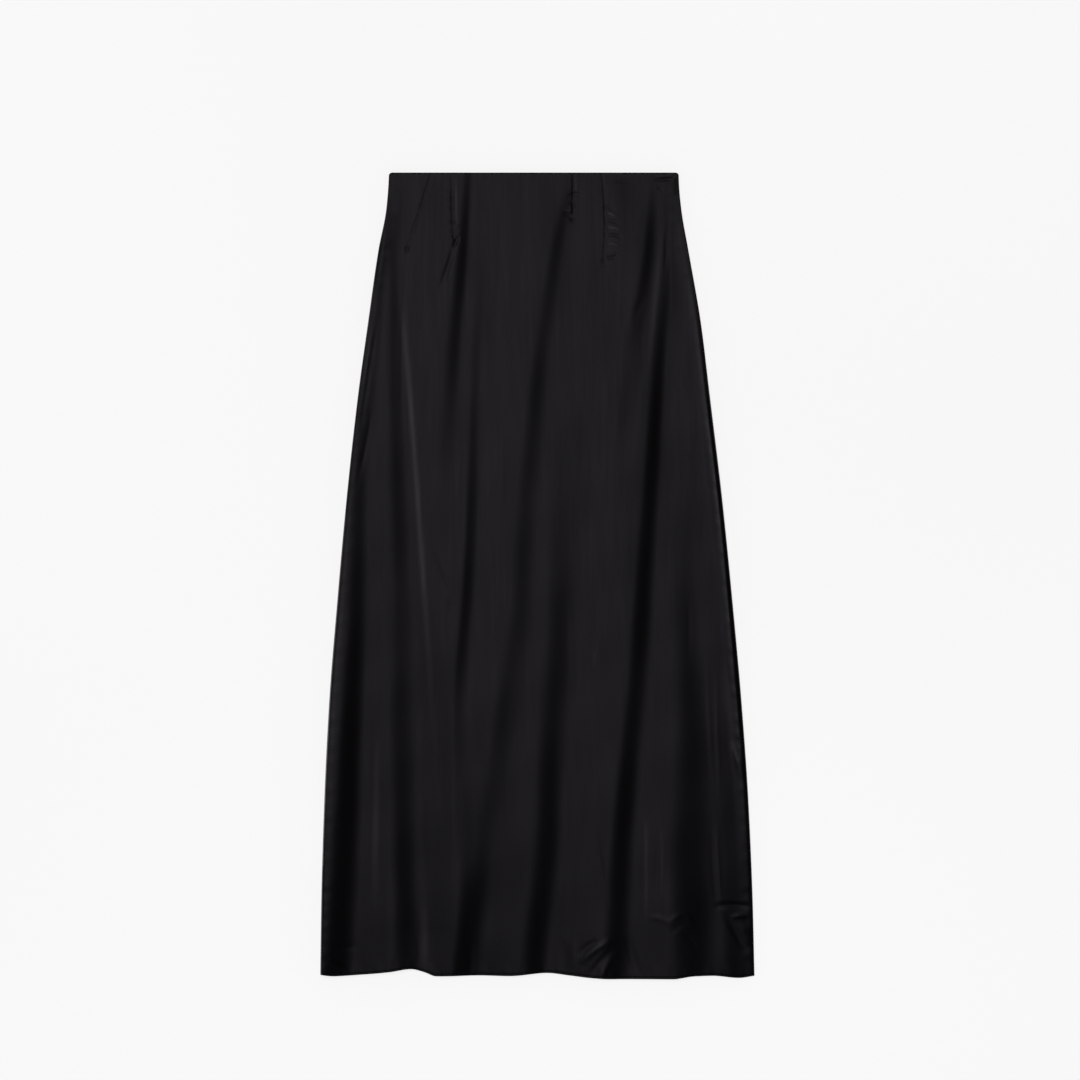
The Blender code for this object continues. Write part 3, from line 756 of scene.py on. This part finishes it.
def back_surface():
    """The back shell as a grid. Its outer face is the one beneath, on the floor."""
    rows = np.concatenate(
        [
            EDGE_STEPS[:-1],
            np.linspace(EDGE_STEPS[-1], LENGTH - HEM_STEPS[-1], BACK_ROWS),
            LENGTH - np.array(HEM_STEPS[-2::-1]),
        ]
    )
    rows = BACK_TUCK + rows * (LENGTH - BACK_TUCK) / LENGTH
    across, down = panel_grid(rows, BACK_COLUMNS)
    to_side = np.minimum(across - left_seam(down), right_seam(down) - across)
    tuck = BACK_TUCK * (1 - fading(to_side, TUCK_FADE))
    cloth_down = down - hem_share(down) * (hem_lift(across) + tuck)
    to_edge = np.minimum(to_side, np.minimum(down - BACK_TUCK, LENGTH - down))
    darts = [dart._replace(height=-dart.height) for dart in dart_wrinkles(BACK_DARTS)]
    under = sum_wrinkles(across, down, list(BACK_WRINKLES) + darts, "height")
    under += BACK_GROOVE_DEPTH * bell((LENGTH - down - HEM_STITCH_UP) / GROOVE_REACH)
    under += edge_rounding(to_edge)
    under = np.clip(under, 0, WALL - BACK_LEAST_CLOTH)
    plain = np.zeros_like(across)
    sewn = WALL + SEAM_GAP * fading(across - left_seam(down), SEAM_ALLOWANCE)
    return Surface(rows, across, cloth_down, under, sewn, plain)


def add_piece(name, points, faces, material, sharp=55):
    """A named mesh piece that rides on the skirt."""
    mesh = bpy.data.meshes.new(name)
    mesh.from_pydata(np.asarray(points).tolist(), [], [tuple(int(i) for i in face) for face in faces])
    mesh.materials.append(material)
    mesh.shade_smooth()
    mesh.set_sharp_from_angle(angle=math.radians(sharp))
    piece = bpy.data.objects.new(name, mesh)
    bpy.context.scene.collection.objects.link(piece)
    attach(piece, "skirt")
    return piece


def grid_faces(index):
    """Faces between the rows and columns of a grid of point numbers."""
    a, b, c, d = index[:-1, :-1], index[1:, :-1], index[1:, 1:], index[:-1, 1:]
    return np.stack([a, b, c, d], axis=-1).reshape(-1, 4).tolist()


def border(index):
    """The point numbers round a grid, as one loop."""
    return [*index[0, :], *index[1:, -1], *index[-1, -2::-1], *index[-2:0:-1, 0]]


def rim_faces(fine, coarse):
    """Joins a fine border loop to a coarse one that holds every second of its points."""
    faces = []
    count = len(fine)
    for k, here in enumerate(coarse):
        following = coarse[(k + 1) % len(coarse)]
        a, b, c = fine[2 * k], fine[2 * k + 1], fine[(2 * k + 2) % count]
        faces += [(a, b, here), (b, following, here), (b, c, following)]
    return faces


def make_shell(name, surface, material, faces_down=False):
    """A closed shell of cloth. The inner face takes every second point of the outer one's grid."""
    outer = to_world(surface.across, surface.cloth_down, surface.outer)
    inner = to_world(surface.across, surface.cloth_down, surface.inner)
    if faces_down:
        outer, inner = outer[:, ::-1], inner[:, ::-1]
    rows, columns = outer.shape[:2]
    index = np.arange(rows * columns).reshape(rows, columns)
    coarse = inner[::2, ::2]
    under = np.arange(coarse.shape[0] * coarse.shape[1]).reshape(coarse.shape[:2]) + rows * columns
    faces = grid_faces(index) + grid_faces(under.T) + rim_faces(border(index), border(under))
    points = np.concatenate([outer.reshape(-1, 3), coarse.reshape(-1, 3)])
    shell = add_piece(name, points, faces, material)
    polish = shell.data.attributes.new("polish", "FLOAT", "POINT")
    polish.data.foreach_set("value", np.concatenate([surface.polish.ravel(), np.zeros(under.size)]))
    return shell


def tube(line, radius, reference, sides=6):
    """Points and faces of a thread along a line. The reference direction is never along the line."""
    line = np.asarray(line, float)
    ahead = np.gradient(line, axis=0)
    ahead /= np.linalg.norm(ahead, axis=1)[:, None]
    side = np.cross(ahead, reference)
    side /= np.linalg.norm(side, axis=1)[:, None]
    over = np.cross(side, ahead)
    turns = 2 * math.pi * np.arange(sides) / sides
    ring = np.cos(turns)[:, None] * side[:, None, :] + np.sin(turns)[:, None] * over[:, None, :]
    points = (line[:, None, :] + radius * ring).reshape(-1, 3)
    index = np.arange(len(points)).reshape(len(line), sides)
    faces = grid_faces(np.concatenate([index, index[:, :1]], axis=1))
    faces += [index[0].tolist(), index[-1, ::-1].tolist()]
    return points, faces


def joined(parts):
    """One list of points and faces from many."""
    points, faces, count = [], [], 0
    for part_points, part_faces in parts:
        points.append(part_points)
        faces += [[i + count for i in face] for face in part_faces]
        count += len(part_points)
    return np.concatenate(points), faces


def hem_stitch_spans():
    """Start and end across of each stitch of the hem, between the side seams."""
    down = LENGTH - HEM_STITCH_UP
    start, end = float(left_seam(down)) + STITCH_MARGIN, float(right_seam(down)) - STITCH_MARGIN
    pitch = STITCH_LENGTH + STITCH_SPACE
    starts = [start + k * pitch for k in range(int((end - start) / pitch))]
    return [(here, here + STITCH_LENGTH) for here in starts]


def make_front_stitches(surface, material):
    """The row of stitches that holds the narrow hem, sunk at the ends of each stitch."""
    parts = []
    for start, end in hem_stitch_spans():
        across = start + (end - start) * STITCH_SHARES
        down = np.full_like(across, LENGTH - HEM_STITCH_UP)
        height = height_on(surface, across, down) + STITCH_RISES
        line = to_world(across, down - hem_share(down) * hem_lift(across), height)
        parts.append(tube(line, THREAD_RADIUS * MM, (0, 0, 1)))
    return add_piece("hem_stitches", *joined(parts), material)


def make_back_stitches(material):
    """The same row on the back, in its groove beneath."""
    parts = []
    for start, end in hem_stitch_spans():
        across = start + (end - start) * STITCH_SHARES
        down = np.full_like(across, LENGTH - HEM_STITCH_UP)
        rises = BACK_STITCH_SHARE * (STITCH_RISES - STITCH_RISES.max())
        height = THREAD_RADIUS + BACK_THREAD_SPARE - rises
        to_side = np.minimum(across - left_seam(down), right_seam(down) - across)
        tuck = BACK_TUCK * (1 - fading(to_side, TUCK_FADE))
        line = to_world(across, down - hem_share(down) * (hem_lift(across) + tuck), height)
        parts.append(tube(line, THREAD_RADIUS * MM, (0, 0, 1)))
    return add_piece("back_hem_stitches", *joined(parts), material)


def zip_stations(count):
    """Where the zip runs beside the right seam: mm down, mm across to its outer side, and its height."""
    down = np.linspace(SLIDER_TOP + SLIDER_LENGTH + SEAM_GAP, ZIP_END, count)
    return down, right_seam(down) - 2 * SEAM_GAP, BACK_TOP + SEAM_GAP + SLIDER_HEIGHT / 2


def make_zip_tape(material):
    """The woven tape of the zip, with a thick cord along each edge of its weave."""
    down, outer, middle = zip_stations(TAPE_RINGS)
    inward, half = column_of(TAPE_RIBS, "inward"), column_of(TAPE_RIBS, "half_thickness")
    inward = np.concatenate([inward, inward[::-1]])
    height = np.concatenate([-half, half[::-1]])
    across = outer[:, None] - inward[None, :]
    down = np.repeat(down[:, None], len(inward), axis=1)
    points = to_world(across, down, middle + np.repeat(height[None, :], len(across), axis=0))
    index = np.arange(points.shape[0] * points.shape[1]).reshape(points.shape[:2])
    faces = grid_faces(np.concatenate([index, index[:, :1]], axis=1))
    faces += [index[0].tolist(), index[-1, ::-1].tolist()]
    tape = add_piece("zip_tape_cloth", points.reshape(-1, 3), faces, material)
    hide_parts("zip_tape")
    return tape


def make_zip_coil(material):
    """The nylon coil of the zip: one wire wound along the outer side of the tape."""
    top, bottom = SLIDER_TOP + SLIDER_LENGTH + 2 * SEAM_GAP, ZIP_END - SEAM_GAP
    turns = (bottom - top) / COIL_PITCH
    t = np.linspace(0, 1, int(turns * COIL_TURN_STEPS) + 1)
    down = top + (bottom - top) * t
    radius = SLIDER_HEIGHT / 2 - COIL_WIRE
    angle = 2 * math.pi * turns * t
    across = right_seam(down) - 2 * SEAM_GAP - SLIDER_HEIGHT / 2 + radius * np.cos(angle)
    height = BACK_TOP + SEAM_GAP + SLIDER_HEIGHT / 2 + radius * np.sin(angle)
    line = to_world(across, down, height)
    return add_piece("zip_coil", *tube(line, COIL_WIRE * MM, (0, 1, 0), sides=5), material, sharp=80)


def node_of(tree, kind, **settings):
    """A new node, with its plain settings set."""
    node = tree.nodes.new(kind)
    for name, value in settings.items():
        setattr(node, name, value)
    return node


def noise_of(tree, source, scale, stretch=(1, 1, 1), detail=3.0):
    """Noise at a scale per metre, drawn out by stretch along an axis."""
    mapping = node_of(tree, "ShaderNodeMapping")
    mapping.inputs["Scale"].default_value = stretch
    noise = node_of(tree, "ShaderNodeTexNoise")
    noise.inputs["Scale"].default_value = scale
    noise.inputs["Detail"].default_value = detail
    tree.links.new(source, mapping.inputs["Vector"])
    tree.links.new(mapping.outputs["Vector"], noise.inputs["Vector"])
    return noise.outputs["Fac"]


def ramp_of(tree, factor, low, high, start=0.3, end=0.7):
    """A colour that goes from low to high as the factor goes from start to end."""
    ramp = node_of(tree, "ShaderNodeValToRGB")
    ramp.color_ramp.elements[0].position = start
    ramp.color_ramp.elements[0].color = (*low, 1)
    ramp.color_ramp.elements[1].position = end
    ramp.color_ramp.elements[1].color = (*high, 1)
    tree.links.new(factor, ramp.inputs["Fac"])
    return ramp.outputs["Color"]


def range_of(tree, factor, low, high, start=0.3, end=0.7):
    """A number that goes from low to high as the factor goes from start to end."""
    span = node_of(tree, "ShaderNodeMapRange")
    span.inputs["From Min"].default_value = start
    span.inputs["From Max"].default_value = end
    span.inputs["To Min"].default_value = low
    span.inputs["To Max"].default_value = high
    tree.links.new(factor, span.inputs["Value"])
    return span.outputs["Result"]


def bump_of(tree, height, distance, strength, below=None):
    """A bump of that height in metres, over the bump below it if there is one."""
    bump = node_of(tree, "ShaderNodeBump")
    bump.inputs["Strength"].default_value = strength
    bump.inputs["Distance"].default_value = distance
    tree.links.new(height, bump.inputs["Height"])
    if below is not None:
        tree.links.new(below, bump.inputs["Normal"])
    return bump.outputs["Normal"]


def new_material(name):
    """A new material with its nodes, its shader and the object's own coordinates."""
    material = bpy.data.materials.new(name)
    material.use_nodes = True
    tree = material.node_tree
    shader = tree.nodes["Principled BSDF"]
    place = node_of(tree, "ShaderNodeTexCoord").outputs["Object"]
    return material, tree, shader, place


def make_satin():
    """Black satin: a soft sheen, long warp threads that show as faint streaks, and a fine weave."""
    material, tree, shader, place = new_material("black_satin")
    clouds = noise_of(tree, place, 5.0)
    slubs = noise_of(tree, place, 240.0, stretch=(1, 0.05, 1), detail=2.0)
    threads = noise_of(tree, place, 2600.0, stretch=(1, 0.12, 1), detail=1.0)
    shader.inputs["Specular IOR Level"].default_value = 0.3
    shader.inputs["Specular Tint"].default_value = (0.95, 0.88, 1.0, 1.0)
    shader.inputs["Sheen Weight"].default_value = 0.01
    shader.inputs["Sheen Roughness"].default_value = 0.35
    colour = ramp_of(tree, clouds, (0.0016, 0.0012, 0.0018), (0.0025, 0.0020, 0.0028))
    tree.links.new(colour, shader.inputs["Base Color"])
    polish = node_of(tree, "ShaderNodeAttribute", attribute_name="polish").outputs["Fac"]
    gloss = node_of(tree, "ShaderNodeMath", operation="MULTIPLY_ADD")
    gloss.inputs[1].default_value = -SATIN_POLISH
    tree.links.new(polish, gloss.inputs[0])
    tree.links.new(range_of(tree, slubs, 0.40, 0.43), gloss.inputs[2])
    tree.links.new(gloss.outputs["Value"], shader.inputs["Roughness"])
    normal = bump_of(tree, threads, 0.00004, 0.25)
    normal = bump_of(tree, slubs, 0.00005, 0.3, normal)
    tree.links.new(normal, shader.inputs["Normal"])
    return material


def make_thread():
    """Black sewing thread with a twisted ply."""
    material, tree, shader, place = new_material("black_thread")
    ply = node_of(tree, "ShaderNodeTexWave", wave_type="BANDS", bands_direction="DIAGONAL")
    ply.inputs["Scale"].default_value = 900.0
    tree.links.new(place, ply.inputs["Vector"])
    colour = ramp_of(tree, ply.outputs["Fac"], (0.004, 0.0036, 0.0045), (0.010, 0.009, 0.011))
    tree.links.new(colour, shader.inputs["Base Color"])
    tree.links.new(range_of(tree, ply.outputs["Fac"], 0.5, 0.62), shader.inputs["Roughness"])
    shader.inputs["Specular IOR Level"].default_value = 0.35
    tree.links.new(bump_of(tree, ply.outputs["Fac"], 0.00008, 0.5), shader.inputs["Normal"])
    return material


def make_tape_cloth():
    """Woven polyester tape, ribbed along the zip."""
    material, tree, shader, place = new_material("black_tape")
    ribs = node_of(tree, "ShaderNodeTexWave", wave_type="BANDS", bands_direction="Y")
    ribs.inputs["Scale"].default_value = 420.0
    ribs.inputs["Distortion"].default_value = 1.0
    tree.links.new(place, ribs.inputs["Vector"])
    fuzz = noise_of(tree, place, 900.0)
    colour = ramp_of(tree, fuzz, (0.006, 0.006, 0.007), (0.014, 0.013, 0.015))
    tree.links.new(colour, shader.inputs["Base Color"])
    tree.links.new(range_of(tree, fuzz, 0.72, 0.86), shader.inputs["Roughness"])
    shader.inputs["Specular IOR Level"].default_value = 0.3
    tree.links.new(bump_of(tree, ribs.outputs["Fac"], 0.00015, 0.5), shader.inputs["Normal"])
    return material


def make_nylon():
    """Black nylon wire, a little cloudy."""
    material, tree, shader, place = new_material("black_nylon")
    haze = noise_of(tree, place, 1500.0)
    colour = ramp_of(tree, haze, (0.006, 0.0055, 0.0065), (0.012, 0.011, 0.013))
    tree.links.new(colour, shader.inputs["Base Color"])
    tree.links.new(range_of(tree, haze, 0.26, 0.36), shader.inputs["Roughness"])
    tree.links.new(bump_of(tree, haze, 0.00002, 0.3), shader.inputs["Normal"])
    return material


def make_enamel():
    """Black enamelled metal, worn a little thinner along its edges."""
    material, tree, shader, place = new_material("black_enamel")
    scuffs = noise_of(tree, place, 1200.0, stretch=(1, 0.2, 1))
    worn = node_of(tree, "ShaderNodeNewGeometry").outputs["Pointiness"]
    colour = ramp_of(tree, worn, (0.003, 0.0027, 0.0034), (0.018, 0.017, 0.018), 0.54, 0.66)
    tree.links.new(colour, shader.inputs["Base Color"])
    tree.links.new(range_of(tree, scuffs, 0.4, 0.52), shader.inputs["Roughness"])
    shader.inputs["Specular IOR Level"].default_value = 0.2
    tree.links.new(bump_of(tree, scuffs, 0.00003, 0.3), shader.inputs["Normal"])
    return material


def make_floor_paint():
    """Matt white paper, nearly even in tone."""
    material, tree, shader, place = new_material("white_paper")
    tone = noise_of(tree, place, 0.7, detail=1.0)
    colour = ramp_of(tree, tone, (0.80, 0.80, 0.80), (0.82, 0.82, 0.82))
    tree.links.new(colour, shader.inputs["Base Color"])
    tree.links.new(colour, shader.inputs["Emission Color"])
    shader.inputs["Emission Strength"].default_value = 0.985
    shader.inputs["Roughness"].default_value = 1.0
    shader.inputs["Specular IOR Level"].default_value = 0.0
    return material


def finish_metal(node, material):
    """Gives a solid of the zip its enamel and softens its edges."""
    node.data.materials.clear()
    node.data.materials.append(material)
    bevel = node.modifiers.new("soft_edges", "BEVEL")
    bevel.width = METAL_EDGE * MM
    bevel.segments = 2
    bevel.limit_method = "ANGLE"
    bevel.angle_limit = math.radians(METAL_EDGE_DEGREES)


def add_softbox(box):
    """A soft rectangular light aimed at the middle of the skirt."""
    data = bpy.data.lights.new(box.name, "AREA")
    data.shape = "RECTANGLE"
    data.size, data.size_y = box.size
    data.energy = box.power
    light = bpy.data.objects.new(box.name, data)
    light.location = box.place
    light.rotation_euler = (-Vector(box.place)).to_track_quat("-Z", "Y").to_euler()
    bpy.context.scene.collection.objects.link(light)


def make_floor():
    """The pale surface that the skirt lies on."""
    mesh = bpy.data.meshes.new("floor")
    reach = FLOOR_REACH
    corners = [(-reach, -reach), (reach, -reach), (reach, reach), (-reach, reach)]
    mesh.from_pydata([(x, y, -FLOOR_DROP) for x, y in corners], [], [(0, 1, 2, 3)])
    mesh.materials.append(make_floor_paint())
    floor = bpy.data.objects.new("floor", mesh)
    bpy.context.scene.collection.objects.link(floor)


def make_room():
    """A dark ceiling with paler walls, which show in the cloth in low views. The end walls are
    paler than the side walls, so the folds, which run from end to end, keep their dark sides."""
    world = bpy.data.worlds.new("room")
    world.use_nodes = True
    tree = world.node_tree
    direction = node_of(tree, "ShaderNodeTexCoord").outputs["Generated"]
    split = node_of(tree, "ShaderNodeSeparateXYZ")
    tree.links.new(direction, split.inputs["Vector"])
    low_walls = range_of(tree, split.outputs["Z"], *WALL_TONES, *WALL_TOPS)
    to_end = node_of(tree, "ShaderNodeMath", operation="ABSOLUTE")
    tree.links.new(split.outputs["Y"], to_end.inputs[0])
    end_walls = range_of(tree, split.outputs["Z"], *END_WALL_TONES, *END_WALL_TOPS)
    strength = node_of(tree, "ShaderNodeMath", operation="MULTIPLY_ADD")
    tree.links.new(to_end.outputs["Value"], strength.inputs[0])
    tree.links.new(end_walls, strength.inputs[1])
    tree.links.new(low_walls, strength.inputs[2])
    background = tree.nodes["Background"]
    background.inputs["Color"].default_value = (1.0, 1.0, 1.0, 1.0)
    tree.links.new(strength.outputs["Value"], background.inputs["Strength"])
    bpy.context.scene.world = world


def make_camera():
    """Straight above the skirt, as far off as a long lens needs for the photograph's frame."""
    data = bpy.data.cameras.new("camera")
    data.lens = LENS
    data.sensor_width = SENSOR
    data.clip_end = CAMERA_REACH
    camera = bpy.data.objects.new("camera", data)
    height = PHOTO_WIDTH * LENS / SENSOR
    camera.location = (PHOTO_MIDDLE[0], PHOTO_MIDDLE[1], height)
    bpy.context.scene.collection.objects.link(camera)
    bpy.context.scene.camera = camera


def main():
    """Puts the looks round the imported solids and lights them."""
    for existing in list(bpy.data.objects):
        bpy.data.objects.remove(existing, do_unlink=True)
    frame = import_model()
    bpy.context.scene.view_settings.view_transform = "Standard"

    satin = make_satin()
    thread = make_thread()
    tape_cloth = make_tape_cloth()
    enamel = make_enamel()

    surface = front_surface()
    front = make_shell("front_shell", surface, satin)
    back = make_shell("back_shell", back_surface(), satin, faces_down=True)
    front_stitches = make_front_stitches(surface, thread)
    back_stitches = make_back_stitches(thread)
    for shell, node in ((front, "front_panel"), (back, "back_panel")):
        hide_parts(node)
    tape = make_zip_tape(tape_cloth)
    coil = make_zip_coil(make_nylon())
    for name in ("zip_slider", "zip_pull"):
        finish_metal(frame["nodes"][name], enamel)

    make_floor()
    make_room()
    for box in SOFTBOXES:
        add_softbox(box)
    make_camera()


main()
